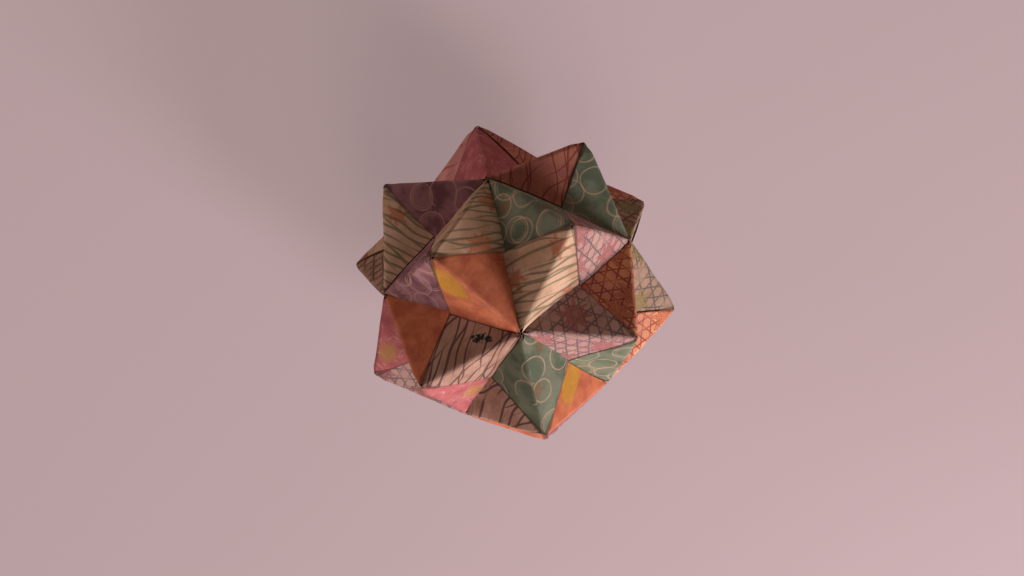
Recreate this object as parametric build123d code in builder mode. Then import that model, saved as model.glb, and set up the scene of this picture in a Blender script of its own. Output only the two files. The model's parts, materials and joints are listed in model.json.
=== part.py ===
from build123d import *
from math import sqrt
import os

# Kusudama ball of thirty folded squares of patterned paper, in millimetres. The ball stands on
# one of its five-sided hollows, its middle on the Z axis and its lowest point at Z = 0.
#
# Each unit is one square sheet. Two opposite edges are folded in to the middle as doors, and two
# opposite corners are folded over and tucked under the doors. That gives a flat strip of four
# right-angled triangles: a tab, two half faces and another tab. Bent along its three creases,
# the strip lies over one edge of an icosahedron. Its half faces form the valley there, and its
# tabs slide into the pockets of two neighbours. Three units close each pointed pyramid, and five
# meet at each hollow.

# Driving sizes
sheet_side = 75.0
paper = 0.09
layer_gap = 0.01
crease_gap = 0.02

# Sizes that follow from the sheet
quarter = sheet_side / 4
edge = sheet_side / 2
step = paper + layer_gap
inner_crease = crease_gap + step

# Corners of the right-hand half of the folded strip, laid flat, seen from its printed face
middle = (0, 0)
crown = (0, quarter)
crown_square = (quarter, quarter)
foot = (0, -quarter)
apex = (quarter, 0)
far = (2 * quarter, -quarter)
notch = (quarter, -quarter)

# The same corners on the ball, where the strip lies across the icosahedron's edge at +Z
golden = (1 + sqrt(5)) / 2
ball_crown = Vector(0, edge / 2, golden * edge / 2)
ball_foot = Vector(0, -edge / 2, golden * edge / 2)
ball_far = Vector(golden * edge / 2, 0, edge / 2)
ball_middle = (ball_crown + ball_foot) / 2
face_centre = (ball_crown + ball_foot + ball_far) / 3
ball_apex = face_centre + face_centre.normalized() * edge / sqrt(6)

# Panels: planes that carry the flat strip's own coordinates, with Z out of the ball
half_across = (ball_apex - ball_middle).normalized()
half = Plane(ball_middle, x_dir=half_across, z_dir=half_across.cross(Vector(0, 1, 0)))
other_across = half_across.rotate(Axis.Z, 180)
other_half = Plane(ball_middle, x_dir=other_across, z_dir=other_across.cross(Vector(0, -1, 0)))
tab_across = (ball_far - ball_foot).normalized()
tab_up = (ball_apex - ball_foot) / quarter - tab_across
tab = Plane(ball_foot + tab_up * quarter, x_dir=tab_across, z_dir=tab_across.cross(tab_up))

# Heights of the layers, in steps from the innermost sheet outwards. The neighbour's tab fills
# the pocket between the tucked corner and the door.
base_level = 0
inner_door_level = 1
corner_door_level = 2
corner_level = 3
tab_base_level = 4
tab_corner_door_level = 5
tab_corner_level = 6
tab_flap_level = 7
tab_door_level = 8
door_level = 9

# The doors are folded in a little short of the hollows, and the tucked layers stay as far out
# of the valley, so that the door passes in front of them
valley_cosine = half.z_dir.dot(other_half.z_dir)
valley_sine = sqrt(1 - valley_cosine**2)
door_top = door_level * step + paper + crease_gap
tuck = (door_top - corner_door_level * step * valley_cosine) / valley_sine
raw_tuck = tuck + step


def side(panel, start, end, inset=0.0):
    """Upright cut on the line from start to end, moved in to the left. It faces the waste."""
    line = Vector(end) - Vector(start)
    outward = Vector(line.Y, -line.X).normalized()
    origin = panel.from_local_coords(Vector(start) - outward * inset)
    return Plane(origin, z_dir=panel.x_dir * outward.X + panel.y_dir * outward.Y)


def ridge_cut(panel, level, other_level):
    """Mitre on the ridge between the half face and its tab, where a layer turns the corner."""
    other = tab if panel is half else half
    lean = other.z_dir - panel.z_dir
    shift = (other_level - level) * step / lean.length
    return Plane(ball_apex + lean.normalized() * shift, z_dir=lean)


def valley_cut(level, other_level):
    """Mitre in the valley between the two half faces, where a layer crosses over."""
    lean = half.z_dir - other_half.z_dir
    shift = (level - other_level) * step / lean.length
    return Plane(ball_middle + lean.normalized() * shift, z_dir=lean)


def layers(panel, low, high, *cuts):
    """Paper on one panel, from the bottom of layer low to the top of layer high, cut to shape."""
    with BuildPart() as slab:
        with BuildSketch(panel.offset(low * step)):
            Rectangle(4 * edge, 4 * edge)
        extrude(amount=(high - low) * step + paper)
        for cut in cuts:
            split(bisect_by=cut, keep=Keep.BOTTOM)
    return slab.part


def crease(panel, inset=crease_gap):
    """The strip's folded long edge, from the far corner past the apex to the crown."""
    return side(panel, far, crown, inset)


def tab_foot(inset=tuck):
    """The tab's long edge, where the door is folded over."""
    return side(tab, foot, far, inset)


# Flat layers of the half face
valley_edge = side(half, crown, foot, tuck)
top_edge = side(half, crown_square, crown, tuck)
bottom_edge = side(half, foot, notch, tuck)
raw_bottom_edge = side(half, foot, notch, raw_tuck)
base_half = layers(
    half,
    base_level,
    base_level,
    ridge_cut(half, base_level, tab_base_level),
    crease(half),
    valley_cut(base_level, base_level),
    top_edge,
    bottom_edge,
)
inner_door = layers(
    half,
    inner_door_level,
    inner_door_level,
    crease(half, inner_crease),
    valley_cut(inner_door_level, door_level),
    side(half, middle, apex, crease_gap),
    top_edge,
)
corner_door_half = layers(
    half,
    corner_door_level,
    corner_door_level,
    ridge_cut(half, corner_door_level, tab_corner_door_level),
    crease(half, inner_crease),
    valley_edge,
    raw_bottom_edge,
)
corner_half = layers(
    half,
    corner_level,
    corner_level,
    ridge_cut(half, corner_level, tab_corner_level),
    crease(half),
    valley_edge,
    raw_bottom_edge,
)
door_half = layers(
    half,
    door_level,
    door_level,
    ridge_cut(half, door_level, tab_door_level),
    valley_cut(door_level, inner_door_level),
    side(half, apex, middle, crease_gap),
    bottom_edge,
)

# Flat layers of the tab
tab_base = layers(
    tab,
    tab_base_level,
    tab_base_level,
    ridge_cut(tab, tab_base_level, base_level),
    crease(tab),
    tab_foot(),
)
tab_corner_door = layers(
    tab,
    tab_corner_door_level,
    tab_corner_door_level,
    ridge_cut(tab, tab_corner_door_level, corner_door_level),
    crease(tab, inner_crease),
    tab_foot(raw_tuck),
    side(tab, notch, apex),
)
tab_corner = layers(
    tab,
    tab_corner_level,
    tab_corner_level,
    ridge_cut(tab, tab_corner_level, corner_level),
    crease(tab),
    tab_foot(raw_tuck),
)
tab_flap = layers(
    tab,
    tab_flap_level,
    tab_flap_level,
    crease(tab),
    tab_foot(raw_tuck),
    side(tab, apex, notch),
)
tab_door = layers(
    tab,
    tab_door_level,
    tab_door_level,
    ridge_cut(tab, tab_door_level, door_level),
    crease(tab),
    tab_foot(),
)

# Folded edges, where two layers of the sheet join
outer_crease_fold = layers(
    half,
    base_level,
    corner_level,
    crease(half),
    -crease(half, crease_gap + paper),
    valley_edge,
    side(half, foot, apex),
)
inner_crease_fold = layers(
    half,
    inner_door_level,
    corner_door_level,
    crease(half, inner_crease),
    -crease(half, inner_crease + paper),
    valley_edge,
    side(half, middle, apex, crease_gap),
)
corner_fold = layers(
    half,
    corner_door_level,
    corner_level,
    valley_edge,
    -side(half, crown, foot, tuck + paper),
    crease(half, inner_crease),
    side(half, foot, apex),
)
tab_crease_fold = layers(
    tab,
    tab_base_level,
    tab_corner_level,
    crease(tab),
    -crease(tab, crease_gap + paper),
    tab_foot(raw_tuck),
    side(tab, apex, foot),
)
tab_door_fold = layers(
    tab,
    tab_base_level,
    tab_door_level,
    tab_foot(),
    -tab_foot(tuck + paper),
    crease(tab),
    side(tab, apex, foot),
)
tab_flap_fold = layers(
    tab,
    tab_flap_level,
    tab_door_level,
    crease(tab),
    -crease(tab, crease_gap + paper),
    tab_foot(raw_tuck),
    side(tab, apex, notch),
)
right_end = [
    base_half,
    inner_door,
    corner_door_half,
    corner_half,
    door_half,
    tab_base,
    tab_corner_door,
    tab_corner,
    tab_flap,
    tab_door,
    outer_crease_fold,
    inner_crease_fold,
    corner_fold,
    tab_crease_fold,
    tab_door_fold,
    tab_flap_fold,
]

# The folded sheet: its other end is folded alike, so it is the same end turned half round
with BuildPart() as unit:
    with PolarLocations(0, 2):
        add(right_end)
print(f"unit: {unit.part.volume:.1f} mm3 of paper, flat sheet {sheet_side**2 * paper:.1f} mm3")

# Hollows of the ball about its middle: the summit, two rings of five and the one it stands on
hollows_in_ring = 5
turn = 360 / hollows_in_ring
ball_radius = edge * sqrt(golden * sqrt(5)) / 2
ring_radius = 2 * ball_radius / sqrt(5)
ring_height = ball_radius / sqrt(5)
summit = Vector(0, 0, ball_radius)
bottom = Vector(0, 0, -ball_radius)
upper_front = Vector(0, -ring_radius, ring_height)
lower_front = Vector(0, -ring_radius, -ring_height)
upper_ring = [upper_front.rotate(Axis.Z, turn * count) for count in range(hollows_in_ring)]
lower_ring = [lower_front.rotate(Axis.Z, turn * (count + 0.5)) for count in range(hollows_in_ring)]


def unit_plane(start, end, centre=(0, 0, 0)):
    """Plane on the ball's middle that carries a unit across the line between two hollows."""
    outward = start + end
    return Plane(centre, x_dir=(start - end).cross(outward), z_dir=outward)


# The thirty lines between neighbouring hollows, each with the name of its unit
unit_lines = {}
for count in range(hollows_in_ring):
    number = count + 1
    upper = upper_ring[count]
    lower = lower_ring[count]
    next_upper = upper_ring[number % hollows_in_ring]
    next_lower = lower_ring[number % hollows_in_ring]
    unit_lines[f"crown_unit_{number}"] = (summit, upper)
    unit_lines[f"shoulder_unit_{number}"] = (upper, next_upper)
    unit_lines[f"belt_unit_{2 * count + 1}"] = (upper, lower)
    unit_lines[f"belt_unit_{2 * count + 2}"] = (lower, next_upper)
    unit_lines[f"hip_unit_{number}"] = (lower, next_lower)
    unit_lines[f"foot_unit_{number}"] = (lower, bottom)

# The ball is raised until its lowest unit stands at Z = 0
with BuildPart() as lowest_unit:
    with Locations(unit_plane(*unit_lines["foot_unit_1"])):
        add(unit.part)
ball_centre = Vector(0, 0, -lowest_unit.part.bounding_box().min.Z)

os.makedirs("parts", exist_ok=True)
for unit_name, line_ends in unit_lines.items():
    with BuildPart() as placed_unit:
        with Locations(unit_plane(*line_ends, centre=ball_centre)):
            add(unit.part)
    placed_unit.part.label = unit_name
    export_step(placed_unit.part, f"parts/{unit_name}.step")
print(f"ball: {len(unit_lines)} units, centre {ball_centre.Z:.2f} mm above the floor")
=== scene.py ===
# %% [markdown]
# A kusudama is a ball of folded paper. Thirty square sheets, each folded into a strip of four
# triangles, slot into each other's pockets with no glue. The folded sheets are real solids in
# the CAD frame. What is left for this script is what paper does to such a shape: folds that are
# a little soft, faces that are not quite flat, pockets that gape, and the print on each sheet.

# %% The frame
import bmesh
import bpy
import json
import numpy as np
from functools import reduce
from math import cos, pi, radians, sin, sqrt
from mathutils import Matrix, Vector


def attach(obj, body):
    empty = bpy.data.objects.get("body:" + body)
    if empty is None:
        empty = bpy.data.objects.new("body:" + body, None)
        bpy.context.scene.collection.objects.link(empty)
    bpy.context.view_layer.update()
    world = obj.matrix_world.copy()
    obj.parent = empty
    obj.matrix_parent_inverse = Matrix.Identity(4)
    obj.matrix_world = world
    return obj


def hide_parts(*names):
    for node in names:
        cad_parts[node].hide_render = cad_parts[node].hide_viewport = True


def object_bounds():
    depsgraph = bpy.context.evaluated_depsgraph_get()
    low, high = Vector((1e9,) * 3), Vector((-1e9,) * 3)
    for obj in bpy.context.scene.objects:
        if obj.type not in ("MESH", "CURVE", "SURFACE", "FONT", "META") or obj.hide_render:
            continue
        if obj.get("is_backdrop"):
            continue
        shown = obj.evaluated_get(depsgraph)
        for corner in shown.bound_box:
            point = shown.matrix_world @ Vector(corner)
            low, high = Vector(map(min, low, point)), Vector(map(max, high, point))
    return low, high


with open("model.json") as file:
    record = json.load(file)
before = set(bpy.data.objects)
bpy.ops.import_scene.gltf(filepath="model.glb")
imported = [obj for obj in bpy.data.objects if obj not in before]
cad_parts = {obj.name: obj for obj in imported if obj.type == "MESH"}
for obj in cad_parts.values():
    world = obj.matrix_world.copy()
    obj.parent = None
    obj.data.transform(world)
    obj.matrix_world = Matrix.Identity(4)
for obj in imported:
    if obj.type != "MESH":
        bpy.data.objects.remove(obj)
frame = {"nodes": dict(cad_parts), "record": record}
cad_box = [list(corner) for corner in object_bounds()]
print("CAD box in mm:", [[round(1000 * x, 2) for x in corner] for corner in cad_box])

# %% [markdown]
# Every size follows from the square sheet. A quarter of its side is the short leg of each
# folded triangle, and half of it is the line between two neighbouring hollows of the ball. The
# ball's middle lies on the Z axis, half way up the box, because the ball looks the same from
# below.

# %% Sizes of sheet and ball
MM = 0.001
SHEET = 75 * MM
PAPER = 0.09 * MM
STEP = 0.10 * MM
QUARTER = SHEET / 4
EDGE = SHEET / 2
GOLDEN = (1 + sqrt(5)) / 2
IN_RING = 5
CENTRE = Vector((0, 0, (cad_box[0][2] + cad_box[1][2]) / 2))
print("ball centre above the floor:", round(CENTRE.z / MM, 2), "mm")

# %% [markdown]
# A unit is easiest to think about lying across one line of the ball, from a hollow called P at
# the top to a hollow called Q at the bottom, with Z pointing out. There its right end holds a
# half face and a tab. Each of the two is a panel with its own origin and axes, and the flat
# strip's coordinates carry over to both. The left end is the right end turned half round.

# %% Panels of one unit
HOLLOW_Q = Vector((0, -EDGE / 2, GOLDEN * EDGE / 2))
HOLLOW_P = Vector((0, EDGE / 2, GOLDEN * EDGE / 2))
HOLLOW_R = Vector((GOLDEN * EDGE / 2, 0, EDGE / 2))
VALLEY_MIDDLE = (HOLLOW_P + HOLLOW_Q) / 2
face_centre = (HOLLOW_P + HOLLOW_Q + HOLLOW_R) / 3
TIP = face_centre + face_centre.normalized() * EDGE / sqrt(6)


class Panel:
    """A flat piece of the folded strip: its origin and its axes on the ball."""

    def __init__(self, origin, across, up):
        self.origin, self.across, self.up = origin, across, up
        self.out = across.cross(up)

    def flat(self, point):
        """How far a point lies across the strip, up along it and out of it."""
        away = point - self.origin
        return away.dot(self.across), away.dot(self.up), away.dot(self.out)


half_across = (TIP - VALLEY_MIDDLE).normalized()
half = Panel(VALLEY_MIDDLE, half_across, Vector((0, 1, 0)))
tab_across = (HOLLOW_R - HOLLOW_Q).normalized()
tab_up = (TIP - HOLLOW_Q) / QUARTER - tab_across
tab = Panel(HOLLOW_Q + tab_up * QUARTER, tab_across, tab_up)
third_out = half.out.cross(tab.out)
print("faces at a tip stand square:", round(half.out.dot(tab.out), 5))

# %% [markdown]
# The thirty units lie over the thirty lines between neighbouring hollows: the summit, a ring of
# five, a lower ring of five turned by half a step, and the hollow that the ball stands on. The
# matrix of a line turns the unit at the drawing board to its place on the ball.

# %% Places on the ball
ball_radius = EDGE * sqrt(GOLDEN * sqrt(5)) / 2


def ring(height, start):
    """Five hollows at one height, from a start angle on."""
    around = [radians(start + 360 / IN_RING * k) for k in range(IN_RING)]
    reach = 2 * ball_radius / sqrt(5)
    return [Vector((reach * cos(a), reach * sin(a), height)) for a in around]


summit, bottom = Vector((0, 0, ball_radius)), Vector((0, 0, -ball_radius))
upper = ring(ball_radius / sqrt(5), -90)
lower = ring(-ball_radius / sqrt(5), -54)
LINES = {}
for k in range(IN_RING):
    after = (k + 1) % IN_RING
    LINES[f"crown_unit_{k + 1}"] = (summit, upper[k])
    LINES[f"shoulder_unit_{k + 1}"] = (upper[k], upper[after])
    LINES[f"belt_unit_{2 * k + 1}"] = (upper[k], lower[k])
    LINES[f"belt_unit_{2 * k + 2}"] = (lower[k], upper[after])
    LINES[f"hip_unit_{k + 1}"] = (lower[k], lower[after])
    LINES[f"foot_unit_{k + 1}"] = (lower[k], bottom)


def turn_of(name):
    """The matrix that turns the unit at the drawing board to its line."""
    start, end = LINES[name]
    out = (start + end).normalized()
    right = (start - end).cross(out).normalized()
    return Matrix((right, out.cross(right), out)).transposed()


print("units on the ball:", len(LINES))

# %% [markdown]
# One CAD unit is copied, merged, because its mesh is loose triangles, and laid back on the
# drawing board. It could be modelled again here, but the copy has all sixteen layers and folds
# at their real heights already, so the pockets stay real pockets.

# %% One unit at the drawing board
WELD = 0.002 * MM
STILL_FLAT = radians(0.2)


def measure(board):
    print("faces:", len(board.faces), " open edges:", sum(not e.is_manifold for e in board.edges))
    print("paper:", round(board.calc_volume() / MM**3, 1), "mm3")


board = bmesh.new()
board.from_mesh(frame["nodes"]["crown_unit_1"].data)
bmesh.ops.remove_doubles(board, verts=board.verts, dist=WELD)
bmesh.ops.transform(board, verts=board.verts, matrix=Matrix.Translation(-CENTRE))
lay_back = turn_of("crown_unit_1").transposed().to_4x4()
bmesh.ops.transform(board, verts=board.verts, matrix=lay_back)
bmesh.ops.dissolve_limit(board, angle_limit=STILL_FLAT, verts=board.verts, edges=board.edges)
measure(board)

# %% [markdown]
# The print has to follow the folds, so every face keeps its place on the flat sheet. Each layer
# is the sheet mirrored at one or more creases, and its height above the panel tells which layer
# it is. Unfolding is then a short rule for each kind of layer. The map is in millimetres from the
# middle of the sheet, so that a pattern can be drawn at its real size.

# %% Rules for unfolding
TAB_DOOR, DOOR = 8, 9
RULES = {
    (0, 4): lambda x, y: (x, y),
    (1,): lambda x, y: (x, 2 * QUARTER - y),
    (2, 5): lambda x, y: (QUARTER - y, QUARTER + x),
    (3, 6): lambda x, y: (QUARTER - y, QUARTER - x),
    (7,): lambda x, y: (QUARTER - y, x - 3 * QUARTER),
    (TAB_DOOR, DOOR): lambda x, y: (x, -2 * QUARTER - y),
}
UNFOLD = {level: rule for levels, rule in RULES.items() for level in levels}
print("layers to unfold:", sorted(UNFOLD))

# %% [markdown]
# A face is known by its place. Beyond the ridge it belongs to the tab, and its height gives the
# layer. The print lies on the inside of the base layers and on the outside of the doors. The
# other side is plain, and so is a cut edge, which is no higher than the sheet is thick.

# %% Panel and layer of a face
PRINT_OUTSIDE = {1, 3, 6, TAB_DOOR, DOOR}
LIES_FLAT = 0.9
SLACK = 0.05


def twin(vector, end):
    """The matching point or direction of the right end."""
    return Vector((end * vector.x, end * vector.y, vector.z))


def find_panel(face):
    """The panel that a face lies on, and 1 for the right end or -1 for the left."""
    middle = face.calc_center_median()
    end = 1 if middle.x >= 0 else -1
    beyond_ridge = (twin(middle, end) - TIP).dot(tab.out - half.out) > 0
    return (tab if beyond_ridge else half), end


def find_layer(face, panel, end):
    """The layer's number, and whether the face shows the plain side of the sheet."""
    height = panel.flat(twin(face.calc_center_median(), end))[2]
    upright = twin(face.normal, end).dot(panel.out)
    if abs(upright) > LIES_FLAT:
        level = round((height - (PAPER if upright > 0 else 0)) / STEP)
        return level, (upright > 0) != (level in PRINT_OUTSIDE)
    heights = [panel.flat(twin(v.co, end))[2] for v in face.verts]
    cut_edge = max(heights) - min(heights) < 2 * PAPER
    return min(max(int(height / STEP + SLACK), 0), DOOR), cut_edge


print("layers with the print outside:", sorted(PRINT_OUTSIDE))

# %% [markdown]
# Now every corner gets its place on the flat sheet. The face keeps its panel, its layer and its
# plain side, because the next steps ask for them.

# %% The map of the flat sheet
ON_HALF, ON_TAB = 1, 2
sheet_map = board.loops.layers.uv.new("sheet")
plain_side = board.faces.layers.float.new("plain_side")
panel_mark = board.faces.layers.int.new("panel")
layer_mark = board.faces.layers.int.new("layer")
counts = [0, 0]
for face in board.faces:
    panel, end = find_panel(face)
    level, plain = find_layer(face, panel, end)
    face[plain_side] = float(plain)
    face[panel_mark] = end * (ON_HALF if panel is half else ON_TAB)
    face[layer_mark] = level
    counts[plain] += 1
    for loop in face.loops:
        x, y, _ = panel.flat(twin(loop.vert.co, end))
        u, v = UNFOLD[level](x, y)
        loop[sheet_map].uv = (end * u / MM, end * v / MM)
print("printed faces:", counts[0], " plain faces:", counts[1])

# %% [markdown]
# Flat faces of a few corners can't bend. Each panel is scored with two families of lines that
# run with its ridge and with its folded edge, 2 mm apart. They lie closer together beside the
# ridges, where the paper turns, and beside the hollows, where the units are pressed together:
# layers a tenth of a millimetre apart would otherwise bend through each other. Cutting only the
# faces of one panel at a time keeps the lines from running on over the others, and Blender
# carries the map over to the new corners.

# %% Score lines, so that the paper can bend
NEAR_RIDGE = [0.08, 0.22, 0.42, 0.7, 1.05, 1.6, 2.3, 3.2, 4.4]
ON_FACE = [6.2 + 2.0 * k for k in range(8)]
NEAR_HOLLOW = [21.4, 22.5, 23.5, 24.4, 25.1, 25.7, 26.2]
SCORES = [depth * MM for depth in NEAR_RIDGE + ON_FACE + NEAR_HOLLOW]
ON_LINE = 0.001 * MM


def score(panel, end, mark):
    """Cuts one panel's faces along its score lines, going away from the tip."""
    faces = [f for f in board.faces if f[panel_mark] == mark]
    piece = faces + list({v for f in faces for v in f.verts})
    piece += list({e for f in faces for e in f.edges})
    panel_middle = panel.origin + (panel.across - panel.up) * QUARTER * (1 if panel is tab else 0.4)
    for way in (panel.across + panel.up, panel.across - panel.up):
        way = way.normalized()
        if (panel_middle - TIP).dot(way) < 0:
            way = -way
        for depth in SCORES:
            spot = twin(TIP + way * depth, end)
            cut = bmesh.ops.bisect_plane(
                board, geom=piece, dist=ON_LINE, plane_co=spot, plane_no=twin(way, end)
            )
            piece = cut["geom"]


for end in (1, -1):
    score(half, end, end * ON_HALF)
    score(tab, end, end * ON_TAB)
measure(board)

# %% [markdown]
# The doors lie a millimetre above the panels, and paper doesn't stretch. At a ridge a door would
# get this millimetre twice, once from each side, and a hoop of the print would break there. So
# the map of a door is drawn back, most at its ridge and not at all 6 mm away.

# %% The map at the ridges
TURN = {ON_HALF: (TAB_DOOR * STEP + PAPER) / MM, ON_TAB: (DOOR * STEP + PAPER) / MM}
DRAW_BACK = 6
for face in board.faces:
    if face[layer_mark] < TAB_DOOR:
        continue
    end, kind = (1 if face[panel_mark] > 0 else -1), abs(face[panel_mark])
    inward = -1 if kind == ON_HALF else 1
    for loop in face.loops:
        u, v = end * loop[sheet_map].uv
        depth = TURN[kind] + inward * (u + v + QUARTER / MM) / sqrt(2)
        near = min(max(1 - depth / DRAW_BACK, 0), 1)
        back = inward * TURN[kind] * near * near * (3 - 2 * near) / sqrt(2)
        loop[sheet_map].uv = (end * (u + back), end * (v + back))
print("doors draw back", [round(t, 2) for t in TURN.values()], "mm")

# %% [markdown]
# A pocket stays a little open where the neighbour's tab went in, because the paper springs back.
# The free edge of each door gets a weight, largest at its middle and nothing where the door is
# held by a fold, and the tree below lifts the door by it.

# %% Where the pockets gape
GAPE_DEPTH = 0.45 * QUARTER
HELD_BY_FOLD = 0.4 * QUARTER
gape = board.verts.layers.float.new("gape")


def opening(x, y):
    """How far a door gapes at a place on its panel, from 0 to 1. Its free edge is at y = 0."""
    along = sin(pi * min(max(x / QUARTER, 0), 1))
    back = max(0, 1 + y / GAPE_DEPTH) ** 2
    free = min(1, max(0, (QUARTER - (x - y)) / HELD_BY_FOLD))
    return along * back * free


for face in board.faces:
    face.smooth = True
    end = 1 if face[panel_mark] > 0 else -1
    if abs(face[panel_mark]) == ON_HALF:
        for vert in face.verts:
            x, y, z = half.flat(twin(vert.co, end))
            if z > (DOOR - SLACK) * STEP:
                vert[gape] = opening(x, y)

bmesh.ops.triangulate(board, faces=board.faces)
unit_mesh = bpy.data.meshes.new("unit_at_the_board")
board.to_mesh(unit_mesh)
board.free()
print("triangles in one unit:", len(unit_mesh.polygons))

# %% [markdown]
# Folded paper never has a knife edge. At a ridge the sheet turns over about a millimetre, at a
# tip three units meet and the point is blunt, and no face stays quite flat. A bevel would pull
# the layers of two units into each other. Instead one field bends them all alike, as if the
# whole ball were soft: layers that lie on each other move together. At a tip the three faces
# stand square, so each point has three depths, one below each face. Where two depths are nearly
# the same there is a ridge, and the point sinks below both faces.
#
# Geometry Nodes do this, because the same rule serves thirty units. The tree takes the sizes as
# named inputs, bends the unit on the drawing board, and then places it on the ball.

# %% Helpers for node trees
def add(tree, kind, *inputs, **settings):
    """A node with its inputs filled in order. A socket is linked and a number is written."""
    node = tree.nodes.new(kind)
    for name, value in settings.items():
        setattr(node, name, value)
    open_sockets = [s for s in node.inputs if s.enabled]
    for socket, value in zip(open_sockets, inputs):
        if isinstance(value, bpy.types.NodeSocket):
            tree.links.new(value, socket)
        elif value is not None:
            socket.default_value = value
    return node


class Sums:
    """Short names for the arithmetic of a node tree."""

    def __init__(self, tree):
        self.tree = tree

    def new(self, kind, *inputs, **settings):
        """The first output of a new node."""
        return add(self.tree, kind, *inputs, **settings).outputs[0]

    def do(self, operation, *values):
        return self.new("ShaderNodeMath", *values, operation=operation)

    def plus(self, one, two):
        return self.do("ADD", one, two)

    def minus(self, one, two):
        return self.do("SUBTRACT", one, two)

    def times(self, one, two):
        return self.do("MULTIPLY", one, two)

    def larger(self, one, two):
        return self.do("MAXIMUM", one, two)

    def smaller(self, one, two):
        return self.do("MINIMUM", one, two)

    def side(self, value):
        """1 where the value is over 0, and -1 elsewhere."""
        return self.minus(self.times(self.do("GREATER_THAN", value, 0.0), 2.0), 1.0)

    def split(self, vector):
        return add(self.tree, "ShaderNodeSeparateXYZ", vector).outputs

    def join(self, x, y, z):
        return self.new("ShaderNodeCombineXYZ", x, y, z)

    def vector(self, operation, *values):
        node = add(self.tree, "ShaderNodeVectorMath", *values, operation=operation)
        return node.outputs["Value" if operation in ("DOT_PRODUCT", "LENGTH") else "Vector"]

    def scale(self, vector, factor):
        return self.vector("SCALE", vector, factor)

    def clamp(self, value):
        return self.new("ShaderNodeClamp", value, 0.0, 1.0)

    def near(self, distance, reach):
        """1 at no distance, and 0 from the reach on."""
        return self.clamp(self.minus(1.0, self.do("DIVIDE", distance, reach)))


print("arithmetic:", [step for step in vars(Sums) if step[0] != "_"])

# %% [markdown]
# The tree starts with its inputs. The sizes have names, so that a softer or a blunter ball is one
# number away. The two sides of the paper are inputs too.

# %% Inputs of the folding tree
fold_tree = bpy.data.node_groups.new("folded unit on the ball", "GeometryNodeTree")
INPUTS = {
    "Geometry": ["Unit"],
    "Vector": ["Tip", "Half face", "Tab face", "Third face", "Hollow", "Far hollow", "Turn", "Ball centre"],
    "Float": ["Ridge softness", "Tip bluntness", "Gather", "Sway", "Sway length", "Seed", "Pocket gape"],
    "Material": ["Print", "Plain side"],
}
for kind, names in INPUTS.items():
    for name in names:
        fold_tree.interface.new_socket(name, in_out="INPUT", socket_type="NodeSocket" + kind)
fold_tree.interface.new_socket("Paper", in_out="OUTPUT", socket_type="NodeSocketGeometry")
given = fold_tree.nodes.new("NodeGroupInput").outputs
sums = Sums(fold_tree)
print("inputs:", sum(INPUTS.values(), []))

# %% [markdown]
# The two ends of a unit are alike, so a point on the left end is handled as its twin on the
# right. Then one tip and three faces serve for both.

# %% A point and its twin
place = sums.new("GeometryNodeInputPosition")
x, y, _ = sums.split(place)
end = sums.side(x)
flip = sums.join(end, end, 1.0)
twin_place = sums.vector("MULTIPLY", place, flip)
print("nodes:", len(fold_tree.nodes))

# %% [markdown]
# Ridges come from the depths below the three faces. Where two of them are nearly the same, the
# point sinks by an amount that grows smoothly towards the ridge. Two faces only count as a pair
# where the third face does not lie much nearer.

# %% Soft ridges
from_tip = sums.vector("SUBTRACT", twin_place, given["Tip"])
faces = [given["Half face"], given["Tab face"], given["Third face"]]
depths = [sums.vector("DOT_PRODUCT", from_tip, out) for out in faces]
top = reduce(sums.larger, depths)
soft = given["Ridge softness"]

sink = None
for one, two in ((0, 1), (1, 2), (2, 0)):
    apart = sums.do("ABSOLUTE", sums.minus(depths[one], depths[two]))
    close = sums.near(apart, soft)
    pair = sums.times(sums.plus(depths[one], depths[two]), 0.5)
    below = sums.do("DIVIDE", sums.minus(top, pair), soft)
    close = sums.times(close, sums.clamp(sums.minus(1.5, below)))
    amount = sums.times(sums.times(close, close), soft)
    inward = sums.scale(sums.vector("ADD", faces[one], faces[two]), -0.25)
    move = sums.scale(inward, amount)
    sink = move if sink is None else sums.vector("ADD", sink, move)
print("nodes:", len(fold_tree.nodes))

# %% [markdown]
# A door lifts a little along its free edge, where the neighbour's tab went in. How far it gapes
# is an input, since no two pockets are alike.

# %% Gaping pockets
lifted = sums.new("GeometryNodeInputNamedAttribute", "gape", data_type="FLOAT")
lift = sums.scale(given["Half face"], sums.times(lifted, given["Pocket gape"]))
bend = sums.vector("MULTIPLY", sums.vector("ADD", sink, lift), flip)
print("nodes:", len(fold_tree.nodes))

# %% [markdown]
# Round each hollow the five units are pressed together when the ball is assembled. A pull towards
# the hollow's axis closes the star-shaped hole that straight folds would leave. Each end of a
# unit has two hollows near it: one of its own, and the one that the tip of its tab reaches.

# %% Units gathered at the hollows
GATHER_REACH = 5 * MM
own_hollow = sums.vector("MULTIPLY", given["Hollow"], sums.join(1.0, sums.side(y), 1.0))
far_hollow = sums.vector("MULTIPLY", given["Far hollow"], flip)
for hollow in (own_hollow, far_hollow):
    from_axis = sums.vector("SUBTRACT", place, sums.vector("PROJECT", place, hollow))
    close = sums.near(sums.vector("LENGTH", from_axis), GATHER_REACH)
    pull = sums.times(sums.times(close, close), given["Gather"])
    bend = sums.vector("SUBTRACT", bend, sums.scale(from_axis, pull))
print("nodes:", len(fold_tree.nodes))

# %% [markdown]
# A ball folded by hand is never quite true. Slow waves of noise run through it. They are read at
# the unit's place on the ball, so that two units that touch are moved alike. Noise stays mostly
# between a quarter and three quarters, and four times that swing fills the whole sway.

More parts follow.
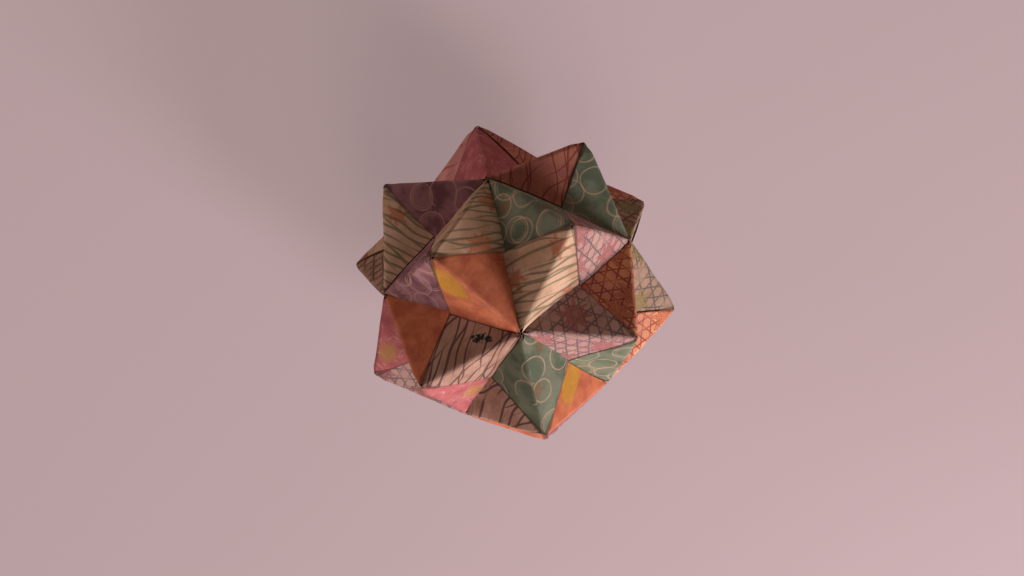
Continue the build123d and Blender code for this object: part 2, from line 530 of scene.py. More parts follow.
# %% Slow waves through the ball
FULL_SWING = 4.0
turn = sums.new("FunctionNodeEulerToRotation", given["Turn"])
turn_back = sums.new("FunctionNodeInvertRotation", turn)
on_ball = sums.new("FunctionNodeRotateVector", place, turn)
spot = sums.scale(on_ball, sums.do("DIVIDE", 1.0, given["Sway length"]))
waves = add(fold_tree, "ShaderNodeTexNoise", spot, given["Seed"], 1.0, 1.0, noise_dimensions="4D")
wave = sums.vector("SUBTRACT", waves.outputs["Color"], (0.5, 0.5, 0.5))
sway = sums.scale(wave, sums.times(given["Sway"], FULL_SWING))
sway = sums.new("FunctionNodeRotateVector", sway, turn_back)
print("nodes:", len(fold_tree.nodes))

# %% [markdown]
# The photograph shows some tips pressed blunt and others still sharp. The same noise decides
# which, because the three units of a tip have to agree.

# %% Blunt tips
SHARP_UNDER, BLUNT_OVER = 0.38, 0.58
BLUNT_REACH = 3.2 * MM
rise = 1 / (BLUNT_OVER - SHARP_UNDER)
squash = sums.clamp(sums.do("MULTIPLY_ADD", waves.outputs["Fac"], rise, -SHARP_UNDER * rise))
close = sums.near(sums.vector("LENGTH", from_tip), BLUNT_REACH)
press = sums.times(sums.times(close, squash), given["Tip bluntness"])
down = sums.scale(sums.vector("NORMALIZE", given["Tip"]), sums.times(press, -1.0))
bend = sums.vector("ADD", bend, sums.vector("MULTIPLY", down, flip))
print("nodes:", len(fold_tree.nodes))

# %% [markdown]
# Last, the bent unit is set on the ball by one instance, made real, and given its print. Faces
# on the back of the sheet get the plain side.

# %% Unit placed and printed
offset = sums.vector("ADD", bend, sway)
moved = sums.new("GeometryNodeSetPosition", given["Unit"], None, None, offset)
middle = sums.new("GeometryNodePoints", 1, given["Ball centre"])
placed = add(fold_tree, "GeometryNodeInstanceOnPoints", middle, None, moved)
fold_tree.links.new(turn, placed.inputs["Rotation"])
real = sums.new("GeometryNodeRealizeInstances", placed.outputs[0])
printed = sums.new("GeometryNodeSetMaterial", real, None, given["Print"])
back_side = sums.new("GeometryNodeInputNamedAttribute", "plain_side", data_type="FLOAT")
chosen = sums.do("GREATER_THAN", back_side, 0.5)
paper = sums.new("GeometryNodeSetMaterial", printed, chosen, given["Plain side"])
add(fold_tree, "NodeGroupOutput", paper)
print("nodes in the folding tree:", len(fold_tree.nodes))

# %% [markdown]
# The paper is printed craft paper: a matt, slightly fibrous sheet with a pattern in a few flat
# inks. Each print is drawn with nodes on the map of the flat sheet, in millimetres, one ink over
# another like a block print. Noise makes the inks uneven and the lines a little unsteady. No
# picture is used, so the print stays sharp at any distance.
#
# The helper keeps one material and gives short names to the steps that all prints share.

# %% Drawing with ink
INK_EDGE = 0.13


class Ink(Sums):
    """One print: a material, the place on the roll of paper, and ways to draw on it."""

    def __init__(self, slot):
        self.slot = slot
        self.material = bpy.data.materials.new(slot)
        self.material.use_nodes = True
        super().__init__(self.material.node_tree)
        self.roll = self.new("ShaderNodeUVMap", uv_map="roll")
        self.sheet = self.new("ShaderNodeUVMap", uv_map="sheet")

    def noise(self, size, detail=2.0, place=None, output="Fac", stretch=None):
        place = place or self.roll
        if stretch:
            place = self.vector("MULTIPLY", place, (*stretch, 1.0))
        node = add(self.tree, "ShaderNodeTexNoise", place, 1 / size, detail, noise_dimensions="2D")
        return node.outputs[output]

    def step(self, value, low, high):
        """From 0 at the low value to 1 at the high one, smoothly."""
        return self.new("ShaderNodeMapRange", value, low, high, interpolation_type="SMOOTHSTEP")

    def line(self, distance, width, soft=INK_EDGE):
        """An inked line where the distance is near 0."""
        far = self.step(self.do("ABSOLUTE", distance), width / 2 - soft, width / 2 + soft)
        return self.minus(1.0, far)

    def along(self, angle, place=None):
        """How far a place lies in one direction."""
        way = (cos(radians(angle)), sin(radians(angle)), 0.0)
        return self.vector("DOT_PRODUCT", place or self.roll, way)

    def every(self, value, spacing):
        """The distance to the nearest multiple of the spacing."""
        return self.do("WRAP", value, spacing / 2, -spacing / 2)

    def unsteady(self, size, amount, shift=(0.0, 0.0, 0.0)):
        """The place on the roll, shifted, and pushed about by noise."""
        moved = self.vector("ADD", self.roll, shift)
        wander = self.vector("SUBTRACT", self.noise(size, 1.0, moved, "Color"), (0.5, 0.5, 0.5))
        return self.vector("ADD", moved, self.scale(wander, 2 * amount))

    def over(self, under, colour, mask, strength=1.0):
        """One colour printed over another where the mask is 1."""
        inks = [(*ink, 1.0) if isinstance(ink, tuple) else ink for ink in (under, colour)]
        cover = self.times(mask, strength)
        return add(self.tree, "ShaderNodeMix", cover, *inks, data_type="RGBA").outputs[2]


print("steps for drawing:", [step for step in vars(Ink) if step[0] != "_"])

# %% [markdown]
# Hoops, leaves and flowers are scattered motifs. A Voronoi pattern gives one spot to each cell.
# From a spot's distance and direction, a wave round it makes the pointed lobes of a leaf. A motif
# is negative inside its outline, so one shape serves for its fill and for its rim.

# %% Scattered motifs
def cells(ink, size, place=None, uneven=0.8):
    """Scattered spots: how far the nearest is, the way from it, and its own chance values."""
    place = place or ink.roll
    node = add(ink.tree, "ShaderNodeTexVoronoi", place, 1 / size, voronoi_dimensions="2D")
    node.inputs["Randomness"].default_value = uneven
    away = ink.vector("SUBTRACT", place, node.outputs["Position"])
    chance = add(ink.tree, "ShaderNodeSeparateColor", node.outputs["Color"]).outputs
    return ink.times(node.outputs["Distance"], size), away, chance


def lobed(ink, spots, lobes, radius, depth, lean=0.0):
    """A leaf or flower on each spot, turned by chance: negative inside its outline."""
    distance, away, chance = spots
    x, y, _ = ink.split(away)
    angle = ink.plus(ink.do("ARCTAN2", y, x), ink.times(chance[0], 6.0))
    wave = ink.do("ABSOLUTE", ink.do("SINE", ink.times(angle, lobes / 2)))
    reach = ink.do("MULTIPLY_ADD", wave, -depth * radius, radius)
    longer = ink.do("MULTIPLY_ADD", ink.do("COSINE", angle), lean, 1.0)
    return ink.minus(distance, ink.times(reach, longer))


def oval(ink, spots, turn, long, wide):
    """An oval round each spot: 1 on its outline, less inside."""
    ahead = ink.times(ink.along(turn, spots[1]), 1 / long)
    across = ink.times(ink.along(turn + 90, spots[1]), 1 / wide)
    return ink.vector("LENGTH", ink.join(ahead, across, 0.0))


print("motifs: lobed leaves and flowers, ovals")

# %% [markdown]
# Handling has rubbed some ink off along the ridges. Where two sheets meet, a thin dark line is
# painted into the seam: painted shade for the narrow gap there, with a little dust. The map of the
# flat sheet says where both of them fall.

# %% Rubbed ridges and painted shade in the seams
RUBBED_PAPER, PAINTED_SEAM_SHADE = (0.72, 0.55, 0.45), (0.05, 0.025, 0.02)
RUBBED_WIDTH, SEAM_WIDTH = 0.7, 0.45


def rubbed_and_seam_shaded(ink, colour, wear, seam):
    """The print with its ridges rubbed pale and painted shade along its seams."""
    x, y, _ = ink.split(ink.sheet)
    x = ink.times(x, ink.minus(0.0, ink.do("SIGN", y)))
    y = ink.do("ABSOLUTE", y)
    quarter = QUARTER / MM
    down = ink.minus(y, quarter)
    ridge = ink.do("ABSOLUTE", ink.minus(down, x))
    edges = reduce(ink.smaller, [x, down, ink.minus(quarter, x), ink.minus(quarter, down)])
    rubbed = ink.minus(1.0, ink.step(ridge, 0.05, RUBBED_WIDTH))
    rubbed = ink.times(rubbed, ink.step(ink.noise(1.3, 3.0), 0.35, 0.7))
    colour = ink.over(colour, RUBBED_PAPER, rubbed, wear)
    # painted shade: a dark line along the seams, where the gap between two sheets lies in shade
    shade = ink.minus(1.0, ink.step(edges, 0.0, SEAM_WIDTH))
    return ink.over(colour, PAINTED_SEAM_SHADE, shade, seam)


print("rubbed ridges and seams:", RUBBED_WIDTH, SEAM_WIDTH, "mm wide")

# %% [markdown]
# Over every print lies the paper itself. Its fibres show as a fine mottle, in the colour and as a
# very low bump. Every finished print goes into one list, under the name of its slot.

# %% The paper itself
FIBRE_SIZE, MOTTLE_SIZE = 0.45, 7.0
FIBRE_TINT, MOTTLE_TINT = 0.26, 0.34
FIBRE_HEIGHT = 0.05 * MM
PRINTS = {}


def finish(ink, colour, wear=0.14, seam=0.55):
    """A rubbed print with painted seam shade and the fibres of its paper, ready for its slot."""
    colour = rubbed_and_seam_shaded(ink, colour, wear, seam)
    fibre = ink.noise(FIBRE_SIZE, 3.0, stretch=(1.0, 0.35))
    mottle = ink.noise(MOTTLE_SIZE, 3.0)
    light = ink.plus(ink.times(fibre, FIBRE_TINT), ink.times(mottle, MOTTLE_TINT))
    light = ink.plus(light, 1 - (FIBRE_TINT + MOTTLE_TINT) / 2)
    colour = ink.vector("MULTIPLY", colour, ink.join(light, light, light))
    bump = add(ink.tree, "ShaderNodeBump")
    bump.inputs["Strength"].default_value = 0.25
    bump.inputs["Distance"].default_value = FIBRE_HEIGHT
    ink.tree.links.new(fibre, bump.inputs["Height"])
    shader = ink.tree.nodes["Principled BSDF"]
    rough = ink.do("MULTIPLY_ADD", fibre, 0.16, 0.74)
    ink.tree.links.new(rough, shader.inputs["Roughness"])
    shader.inputs["Specular IOR Level"].default_value = 0.12
    ink.tree.links.new(bump.outputs[0], shader.inputs["Normal"])
    ink.tree.links.new(colour, shader.inputs["Base Color"])
    PRINTS[ink.slot] = ink.material


print("fibres of the paper:", FIBRE_HEIGHT / MM, "mm high")

# %% [markdown]
# The ring prints have thin tan hoops, about six millimetres across, thrown over a dark ground so
# that they touch and overlap. Each cell of a Voronoi pattern has one point, and a hoop is all
# that lies at one distance from it. Two such patterns over each other make the overlaps. Here and
# there a small leaf lies inside a hoop.

# %% Ring prints
def hoops(ink, size, radius, shift, share):
    """Hoops on a share of the scattered spots. Some have a thinner hoop inside."""
    distance, _, chance = cells(ink, size, ink.unsteady(9.0, 0.4, shift), 0.7)
    wanted = ink.do("MULTIPLY_ADD", chance[1], 0.7, radius - 0.35)
    drawn = ink.line(ink.minus(distance, wanted), 0.36)
    inner = ink.line(ink.minus(distance, ink.minus(wanted, 0.6)), 0.26)
    inner = ink.times(inner, ink.do("GREATER_THAN", chance[2], 0.7))
    drawn = ink.larger(drawn, ink.times(inner, 0.6))
    return ink.times(drawn, ink.do("LESS_THAN", chance[0], share))


def ring_print(name, ground, deep, hoop, leaf):
    ink = Ink(name)
    colour = ink.over(ground, deep, ink.step(ink.noise(5.5, 3.0), 0.38, 0.68))
    spots = cells(ink, 10.0, ink.unsteady(2.5, 0.7, (31.0, 7.0, 0.0)))
    leaves = ink.step(lobed(ink, spots, 7, 2.3, 0.55), 0.35, -0.45)
    leaves = ink.times(leaves, ink.do("GREATER_THAN", spots[2][1], 0.5))
    colour = ink.over(colour, leaf, leaves, 0.7)
    strength = ink.do("MULTIPLY_ADD", ink.noise(2.2), 0.80, 0.17)
    for pattern in ((8.0, 2.95, (0.0, 0.0, 0.0), 0.95), (10.4, 3.05, (23.0, 41.0, 0.0), 0.6)):
        colour = ink.over(colour, hoop, hoops(ink, *pattern), strength)
    finish(ink, colour)


ring_print(
    "green_ring_paper",
    ground=(0.196, 0.218, 0.148), deep=(0.118, 0.147, 0.095),
    hoop=(0.58, 0.39, 0.27), leaf=(0.24, 0.13, 0.07),
)
ring_print(
    "purple_ring_paper",
    ground=(0.33, 0.16, 0.175), deep=(0.19, 0.08, 0.095),
    hoop=(0.56, 0.31, 0.27), leaf=(0.15, 0.07, 0.07),
)
print("ring prints:", list(PRINTS))

# %% [markdown]
# The lattice prints carry an old basket weave: three sets of parallel lines, sixty degrees apart,
# that leave six-sided holes with small triangles between them. No three lines meet, because each
# set is half a step off. Flowers or leaves with pointed petals lie over the weave, each with a
# dark rim and a fan of veins.

# %% Lattice prints
def weave(ink, step, width):
    """Three sets of parallel lines, each half a step off."""
    place = ink.unsteady(4.0, 0.22)
    rows = [ink.plus(ink.along(angle, place), step / 2) for angle in (0, 60, 120)]
    return reduce(ink.larger, [ink.line(ink.every(row, step), width) for row in rows])


def lattice_print(name, ground, second, lines, flower, vein, lobes):
    ink = Ink(name)
    colour = ink.over(ground, second, ink.step(ink.noise(7.0), 0.42, 0.62))
    woven = weave(ink, 2.6, 0.40)
    faint = ink.do("MULTIPLY_ADD", ink.step(ink.noise(5.0, 1.0), 0.25, 0.5), 0.55, 0.30)
    colour = ink.over(colour, lines, woven, faint)
    spots = cells(ink, 11.0, ink.unsteady(2.2, 0.4, (11.0, 3.0, 0.0)), 0.55)
    outline = lobed(ink, spots, lobes, 4.3, 0.55)
    petals = ink.step(outline, 0.2, -0.2)
    colour = ink.over(colour, flower, petals, 0.8)
    rim = ink.line(outline, 0.28)
    inner = ink.line(lobed(ink, spots, lobes, 2.5, 0.6), 0.26)
    x, y, _ = ink.split(spots[1])
    around = ink.do("SINE", ink.times(ink.do("ARCTAN2", y, x), 3.0 * lobes))
    veins = ink.times(ink.step(around, 0.55, 0.95), petals)
    marks = ink.larger(ink.larger(rim, inner), ink.times(veins, 0.5))
    colour = ink.over(colour, vein, marks, 0.7)
    finish(ink, colour)


lattice_print(
    "pink_lattice_paper",
    ground=(0.54, 0.332, 0.275), second=(0.47, 0.258, 0.232), lines=(0.138, 0.106, 0.122),
    flower=(0.43, 0.172, 0.16), vein=(0.19, 0.053, 0.054), lobes=8,
)
lattice_print(
    "brown_lattice_paper",
    ground=(0.66, 0.28, 0.175), second=(0.74, 0.325, 0.152), lines=(0.30, 0.045, 0.04),
    flower=(0.60, 0.21, 0.11), vein=(0.24, 0.035, 0.03), lobes=7,
)
lattice_print(
    "olive_lattice_paper",
    ground=(0.465, 0.28, 0.19), second=(0.335, 0.193, 0.122), lines=(0.075, 0.047, 0.04),
    flower=(0.30, 0.25, 0.10), vein=(0.10, 0.07, 0.035), lobes=7,
)
lattice_print(
    "leaf_lattice_paper",
    ground=(0.415, 0.28, 0.20), second=(0.345, 0.222, 0.154), lines=(0.11, 0.092, 0.087),
    flower=(0.305, 0.228, 0.09), vein=(0.175, 0.125, 0.046), lobes=7,
)
print("lattice prints:", [name for name in PRINTS if "lattice" in name])

# %% [markdown]
# The grass prints are long brushed strokes that sweep the same way and thin out at their ends.
# A stroke is a level line of a bent ramp, cut to length by stretched noise. One or two more sets
# at small angles cross the first. One print has red maple leaves between the blades, and one has
# small dark sprigs.

# %% Grass prints
def blades(ink, angle, spacing, width, bend, cut, shift):
    """Strokes side by side, thinned out where noise is under the cut."""
    place = ink.vector("ADD", ink.roll, shift)
    ahead, across = ink.along(angle, place), ink.along(angle + 90, place)
    swing = ink.times(ink.do("SINE", ink.times(ahead, 1 / 8.0)), bend)
    drift = ink.times(ink.noise(20.0, 1.0, place), 7.0)
    ramp = ink.plus(across, ink.plus(swing, drift))
    body = ink.noise(spacing * 0.9, 0.0, ink.join(ink.times(ahead, 0.10), ramp, 0.0))
    thick = ink.times(ink.step(body, cut, cut + 0.22), width / 2)
    distance = ink.do("ABSOLUTE", ink.every(ramp, spacing))
    return ink.step(ink.minus(thick, distance), -0.12, 0.14)


def grass_print(
    name, ground, second, blade, spacing, width, bend, cut, angles, strength, leaf=None, sprig=None
):
    ink = Ink(name)
    colour = ink.over(ground, second, ink.step(ink.noise(8.0), 0.40, 0.66))
    if leaf:
        for size, uneven, radius, shift in (
            (12.5, 0.6, 3.3, (5.0, 9.0, 0.0)),
            (40.0, 0.0, 4.3, (-11.2, -5.2, 0.0)),
        ):
            spots = cells(ink, size, ink.unsteady(1.6, 0.7, shift), uneven)
            outline = lobed(ink, spots, 7, radius, 0.5, 0.35)
            inside = ink.step(outline, 0.5, -0.7)
            colour = ink.over(colour, leaf, inside, 0.72)
    swept = [
        blades(ink, angle, spacing * (1 + 0.3 * n), width, bend, cut + 0.05 * n, (19.0 * n, 27.0 * n, 0.0))
        for n, angle in enumerate(angles)
    ]
    colour = ink.over(colour, blade, reduce(ink.larger, swept), strength)
    if sprig:
        spots = cells(ink, 24.0, ink.unsteady(0.9, 0.45, (3.2, -7.6, 0.0)), 0.0)
        drawn = ink.step(oval(ink, spots, 69, 2.7, 1.0), 1.15, 0.85)
        drawn = ink.times(drawn, ink.step(ink.noise(0.8, 1.0), 0.36, 0.48))
        colour = ink.over(colour, sprig, drawn)
    finish(ink, colour)


grass_print(
    "cream_maple_paper",
    ground=(0.63, 0.415, 0.28), second=(0.52, 0.315, 0.20), blade=(0.13, 0.125, 0.064),
    spacing=2.0, width=0.60, bend=1.7, cut=0.30, angles=(0, 15), strength=0.72,
    leaf=(0.52, 0.15, 0.07),
)
grass_print(
    "tan_grass_paper",
    ground=(0.47, 0.282, 0.21), second=(0.365, 0.198, 0.141), blade=(0.07, 0.03, 0.035),
    spacing=2.2, width=0.56, bend=1.3, cut=0.33, angles=(0, 18, -14), strength=0.82,
    sprig=(0.02, 0.03, 0.022),
)
grass_print(
    "rust_grass_paper",
    ground=(0.45, 0.155, 0.118), second=(0.55, 0.21, 0.14), blade=(0.20, 0.027, 0.024),
    spacing=2.2, width=0.42, bend=2.0, cut=0.35, angles=(0, 20, -16), strength=0.75,
)
print("grass prints:", [name for name in PRINTS if "grass" in name or "maple" in name])

# %% [markdown]
# The cloud prints are washed with colour. They have soft mottling, a few bright patches with
# rounded outlines, and thin pale scrolls. The wave print is close to them, with red lines that
# run over it side by side.

# %% Cloud and wave prints
def cloud_print(name, ground, second, patch, scroll, size, long, wide, edge, pale, share):
    """Mottled wash with ragged oval patches, their middles near a grid of the given size."""
    ink = Ink(name)
    colour = ink.over(ground, second, ink.step(ink.noise(4.0, 4.0), 0.32, 0.70))
    spots = cells(ink, size, ink.unsteady(2.6, 1.1), 0.12)
    rim = oval(ink, spots, 0, long, wide)
    chosen = ink.do("LESS_THAN", spots[2][1], share)
    inside = ink.times(ink.step(rim, 1.0 + edge, 1.0 - edge), chosen)
    colour = ink.over(colour, patch, inside, 0.8)
    rings = ink.times(ink.line(ink.every(rim, 0.42), 0.09, 0.05), ink.step(rim, 2.6, 1.2))
    far, _, _ = cells(ink, 8.5, ink.unsteady(3.5, 1.2, (17.0, 1.0, 0.0)), 0.9)
    curls = ink.line(ink.every(far, 1.6), 0.24)
    lines = ink.larger(curls, ink.times(rings, chosen))
    lines = ink.times(lines, ink.step(ink.noise(3.5), 0.42, 0.62))
    colour = ink.over(colour, scroll, lines, pale)
    finish(ink, colour)


def wave_print(name, ground, second, stroke):
    ink = Ink(name)
    colour = ink.over(ground, second, ink.step(ink.noise(6.0, 3.0), 0.4, 0.66))
    swell = ink.times(ink.noise(19.0, 0.0), 15.0)
    rows = ink.line(ink.every(ink.plus(ink.along(30), swell), 1.7), 0.30)
    rows = ink.times(rows, ink.step(ink.noise(4.5), 0.38, 0.54))
    colour = ink.over(colour, stroke, rows, 0.75)
    finish(ink, colour)


cloud_print(
    "orange_cloud_paper",
    ground=(0.60, 0.185, 0.09), second=(0.47, 0.122, 0.062),
    patch=(0.56, 0.29, 0.035), scroll=(0.66, 0.30, 0.17),
    size=40.0, long=6.0, wide=2.9, edge=0.25, pale=0.22, share=1.0,
)
cloud_print(
    "rose_cloud_paper",
    ground=(0.495, 0.145, 0.143), second=(0.40, 0.104, 0.114),
    patch=(0.43, 0.225, 0.075), scroll=(0.70, 0.41, 0.37),
    size=12.0, long=3.0, wide=2.0, edge=0.40, pale=0.45, share=0.65,
)
wave_print(
    "salmon_wave_paper",
    ground=(0.60, 0.255, 0.23), second=(0.66, 0.33, 0.28), stroke=(0.44, 0.07, 0.07),
)
print("prints in all:", len(PRINTS))

# %% [markdown]
# The back of each sheet is plain paper. It shows only inside a gaping pocket and as the thin cut
# edge of a door.

# %% Plain paper
plain = Ink("plain_paper")
finish(plain, (0.66, 0.50, 0.40), wear=0.0, seam=0.0)
print("back of the sheets:", plain.slot)

# %% [markdown]
# The floor is a matt painted board. The camera also sees a little even glow of the same tint in
# it, as a board lit from far off would have, so that it stays pale and keeps its shadow. From a
# quarter of a metre on the glow takes over, and the board runs into the pale wall without an edge.

# %% Floor paint
PALE_ROOM = (0.64, 0.465, 0.475, 1)
GLOW_NEAR, GLOW_FAR = 0.5, 1.0
FADE_FROM, FADE_TO = 0.25, 1.8
floor_paint = bpy.data.materials.new("floor_paint")
floor_paint.use_nodes = True
floor_tree = floor_paint.node_tree
floor_sums = Sums(floor_tree)
floor_shader = floor_tree.nodes["Principled BSDF"]
floor_shader.inputs["Base Color"].default_value = (0.42, 0.325, 0.345, 1)
floor_shader.inputs["Roughness"].default_value = 0.9
on_floor = add(floor_tree, "ShaderNodeTexCoord").outputs["Object"]
away = floor_sums.vector("LENGTH", on_floor)
fade = floor_sums.new("ShaderNodeMapRange", away, FADE_FROM, FADE_TO, GLOW_NEAR, GLOW_FAR)
seen = add(floor_tree, "ShaderNodeLightPath").outputs["Is Camera Ray"]
share = floor_sums.times(seen, fade)
glow = floor_sums.new("ShaderNodeEmission", PALE_ROOM)
mixed = floor_sums.new("ShaderNodeMixShader", share, floor_shader.outputs[0], glow)
floor_tree.links.new(mixed, floor_tree.nodes["Material Output"].inputs["Surface"])
print("floor:", floor_paint.name)

# %% [markdown]
# Each square was cut from its own part of the roll. The table gives the turn of a sheet on the
# roll, in degrees, and the place on the sheet, in millimetres, where a middle of the print's
# pattern falls. The units that the photograph does not show follow a rule. The parts of the roll
# are 240 mm apart, because the 24 mm and 40 mm grids of the large motifs divide that.

# %% Where each square was cut from the roll
ROLL_PART = 240
ROLL = {name: (37 * n % 360, 3.0 * (n % 7), 5.0 * (n % 5)) for n, name in enumerate(LINES)}
ROLL.update(
    crown_unit_1=(-4, -9.8, 39.0),
    crown_unit_2=(45, -15.1, 34.3),
    crown_unit_3=(88, -16.2, 19.2),
    crown_unit_4=(20, -6.0, 30.0),
    crown_unit_5=(0, -3.6, 30.0),
    shoulder_unit_1=(0, -5.0, 31.0),
    shoulder_unit_2=(30, 12.0, -22.0),
    shoulder_unit_3=(90, 11.0, -21.0),
    shoulder_unit_4=(0, -12.0, 24.0),
    shoulder_unit_5=(0, 5.0, -29.0),
)


def cut_from_roll(mesh, name):
    """A second map, shifted and turned, so that each square shows its own part of the print."""
    turn, x, y = ROLL[name]
    c, s = cos(radians(turn)), sin(radians(turn))
    sheet = np.zeros(2 * len(mesh.loops), dtype=np.float32)
    mesh.uv_layers["sheet"].uv.foreach_get("vector", sheet)
    right, up = sheet[0::2] - x, sheet[1::2] - y
    part = ROLL_PART * (list(LINES).index(name) + 1)
    roll = np.column_stack((c * right - s * up + part, s * right + c * up)).astype(np.float32)
    mesh.uv_layers.new(name="roll").uv.foreach_set("vector", roll.ravel())


print("squares cut from the roll:", len(ROLL))

# %% [markdown]
# Now the thirty units. Each gets the drawing-board mesh and the tree with its own turn and its
# own print. A paper fold turns over about a millimetre, and the waves of a ball of this size are
# a third of a millimetre high. The numbers were matched to the outline in the photograph.

# %% Sizes of the bending
SIZES = {
    "Tip": TIP,
    "Half face": half.out,
    "Tab face": tab.out,
    "Third face": third_out,
    "Hollow": HOLLOW_P,
    "Far hollow": HOLLOW_R,
    "Ball centre": CENTRE,
    "Ridge softness": 0.9 * MM,
    "Tip bluntness": 1.1 * MM,
    "Gather": 0.62,
    "Sway": 0.35 * MM,
    "Sway length": 17 * MM,
    "Seed": 4.0,
}
print("sizes of the bending:", len(SIZES))

# %% [markdown]
# One function makes a piece. Its doors gape by 0.12 to 0.37 mm. The evaluated result becomes a
# plain mesh and the modifier goes. The shading breaks only at creases sharper than forty degrees.

# %% One unit placed
LEAST_GAPE, MORE_GAPE = 0.12 * MM, 0.25 * MM
SHARP_FOLD = radians(40)


def put(name, data):
    """A new object in the scene."""
    made = bpy.data.objects.new(name, data)
    bpy.context.scene.collection.objects.link(made)
    return made


def place_unit(name, slot, number):
    """One folded sheet of the ball, in the place of its CAD node."""
    piece = put(name + "_sheet", unit_mesh)
    folding = piece.modifiers.new("folding", "NODES")
    folding.node_group = fold_tree
    values = SIZES | {
        "Turn": turn_of(name).to_euler(),
        "Pocket gape": LEAST_GAPE + MORE_GAPE * (number * 0.618 % 1),
        "Print": PRINTS[slot],
        "Plain side": PRINTS["plain_paper"],
    }
    for socket in fold_tree.interface.items_tree:
        if socket.name in values:
            value = values[socket.name]
            single = isinstance(value, (bpy.types.Material, float))
            folding[socket.identifier] = value if single else tuple(value)
    ready = bpy.context.evaluated_depsgraph_get()
    mesh = bpy.data.meshes.new_from_object(
        piece.evaluated_get(ready), preserve_all_data_layers=True, depsgraph=ready
    )
    piece.modifiers.clear()
    piece.data = mesh
    mesh.name = name + "_sheet"
    cut_from_roll(mesh, name)
    mesh.set_sharp_from_angle(angle=SHARP_FOLD)
    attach(piece, "root")
    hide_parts(name)
    return piece


print("tree to apply:", fold_tree.name)

# %% [markdown]
# The frame names the thirty nodes and their slots. Each unit replaces its own node and takes
# that node's slot, so nothing of the plain CAD ball is left in view.

# %% The thirty units
slots = {part["node"]: part["material_slot"] for part in frame["record"]["subparts"]}
pieces = [place_unit(name, slots[name], n) for n, name in enumerate(LINES)]
print("units:", len(pieces), " triangles:", sum(len(p.data.polygons) for p in pieces))

# %% [markdown]
# The photograph looks down on the ball from above. The place and the turn of the camera were
# found from the tips and hollows that it shows: a camera that puts them all where the photograph
# has them. Its lens follows from how fast the far tips shrink.

# %% Camera
CAMERA_RIGHT = Vector((-0.9766, 0.2068, 0.0610))
CAMERA_BACK = Vector((-0.0035, -0.2995, 0.9541)).normalized()
CAMERA_DISTANCE = 197.6 * MM
CAMERA_DROP = 0.578 * MM
SENSOR, FOCAL_PIXELS, PICTURE_WIDTH = 36, 720, 1024
camera_up = CAMERA_BACK.cross(CAMERA_RIGHT).normalized()
camera_right = camera_up.cross(CAMERA_BACK)
camera_data = bpy.data.cameras.new("camera")
camera_data.sensor_width = SENSOR
camera_data.lens = SENSOR * FOCAL_PIXELS / PICTURE_WIDTH
camera_data.clip_start = 0.01
camera = put("camera", camera_data)
aim = CENTRE - camera_up * CAMERA_DROP
turned = Matrix((camera_right, camera_up, CAMERA_BACK)).transposed().to_4x4()
camera.matrix_world = Matrix.Translation(aim + CAMERA_BACK * CAMERA_DISTANCE) @ turned
bpy.context.scene.camera = camera
print("camera:", [round(value / MM, 1) for value in camera.location], "mm")

# %% [markdown]
# The light of the photograph comes in low from one side, as from a window, and the faces turned
# from it are two or three times darker. So one soft lamp stands for the window, and a wider one
# for the sky over it. Two far ones low down stand for the walls of a pale room, so that no side
# of the ball is lost in the dark. The camera does not see the lamps. Their strengths follow from
# how bright the same print is on faces that are turned different ways. Each line gives the way to
# a lamp, its distance and width in metres, its power in watts and its colour.

# %% Lamps
def lamp(name, direction, distance, size, power, colour):
    data = bpy.data.lights.new(name, "AREA")
    data.shape = "DISK"
    data.size = size
    data.energy = power
    data.color = colour
    made = put(name, data)
    way = Vector(direction).normalized()
    made.location = CENTRE + way * distance
    made.rotation_euler = way.to_track_quat("Z", "Y").to_euler()
    made.visible_camera = False
    return made


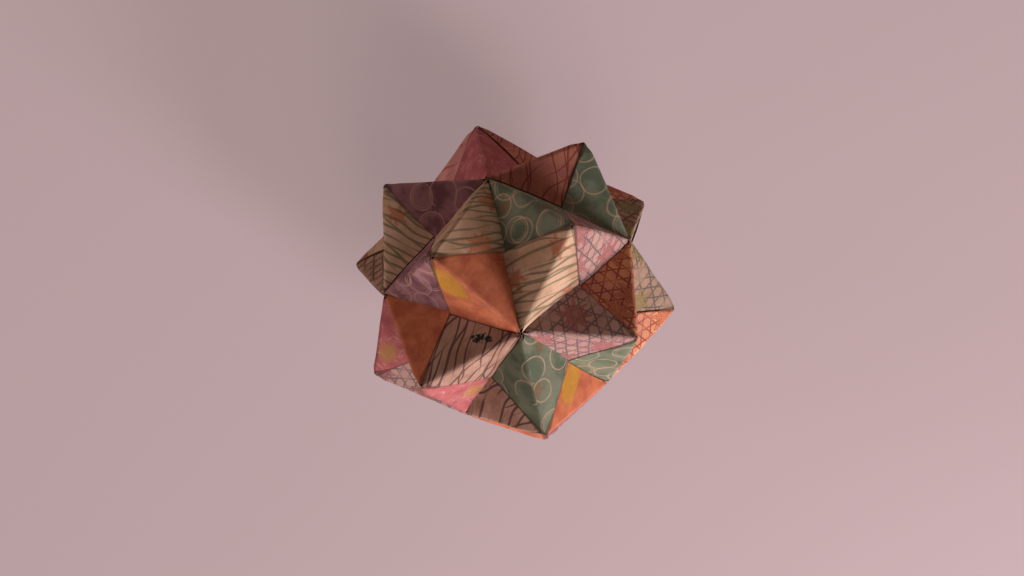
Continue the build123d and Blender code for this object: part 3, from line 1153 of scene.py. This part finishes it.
lamps = [
    lamp("window", (-0.506, 0.723, 0.469), 0.9, 0.30, 7.9, (1.0, 0.905, 0.93)),
    lamp("sky", (0.0, 0.707, 0.707), 1.0, 0.50, 3.9, (1.0, 0.90, 0.88)),
    lamp("wall", (0.897, -0.418, 0.139), 2.6, 0.70, 15.8, (1.0, 0.81, 0.76)),
    lamp("far_wall", (-0.858, -0.495, 0.139), 2.6, 0.70, 4.6, (1.0, 0.78, 0.66)),
]
print("lamps:", [made.name for made in lamps])

# %% [markdown]
# The floor is plain and pale and catches the ball's shadow. The world is the rest of the room:
# brighter at the level of the windows, darker overhead, because the photograph has dim tops
# beside bright sides. The camera itself sees the world as one pale wall.

# %% Floor and room
FLOOR = 3
AT_WINDOWS, OVERHEAD, OVERHEAD_FROM = 0.33, 0.045, 0.6
floor_mesh = bpy.data.meshes.new("floor")
corners = [(FLOOR * x, FLOOR * y, 0) for x, y in ((-1, -1), (1, -1), (1, 1), (-1, 1))]
floor_mesh.from_pydata(corners, [], [(0, 1, 2, 3)])
floor = put("floor", floor_mesh)
floor.data.materials.append(floor_paint)
floor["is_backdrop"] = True

world = bpy.data.worlds.new("studio")
world.use_nodes = True
bpy.context.scene.world = world
world_tree = world.node_tree
towards = add(world_tree, "ShaderNodeTexCoord").outputs["Generated"]
world_sums = Sums(world_tree)
height = world_sums.split(towards)[2]
strength = world_sums.new("ShaderNodeMapRange", height, 0.0, OVERHEAD_FROM, AT_WINDOWS, OVERHEAD)
room = world_tree.nodes["Background"]
room.inputs["Color"].default_value = (0.90, 0.645, 0.51, 1)
world_tree.links.new(strength, room.inputs["Strength"])
wall_paint = world_sums.new("ShaderNodeBackground", PALE_ROOM)
seen = add(world_tree, "ShaderNodeLightPath").outputs["Is Camera Ray"]
mixed = world_sums.new("ShaderNodeMixShader", seen, room.outputs[0], wall_paint)
world_tree.links.new(mixed, world_tree.nodes["World Output"].inputs["Surface"])
bpy.context.scene.view_settings.view_transform = "Standard"
print("floor and world:", floor.name, world.name)

# %% [markdown]
# Last, the sizes of the dressed ball, beside those of the CAD ball. The dressed ball has to
# stay in the box of the CAD ball.

# %% Sizes and finish
dressed_box = [list(corner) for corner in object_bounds()]
for axis in range(3):
    before = (cad_box[1][axis] - cad_box[0][axis]) / MM
    after = (dressed_box[1][axis] - dressed_box[0][axis]) / MM
    print("XYZ"[axis], "CAD", round(before, 2), "mm, dressed", round(after, 2), "mm")
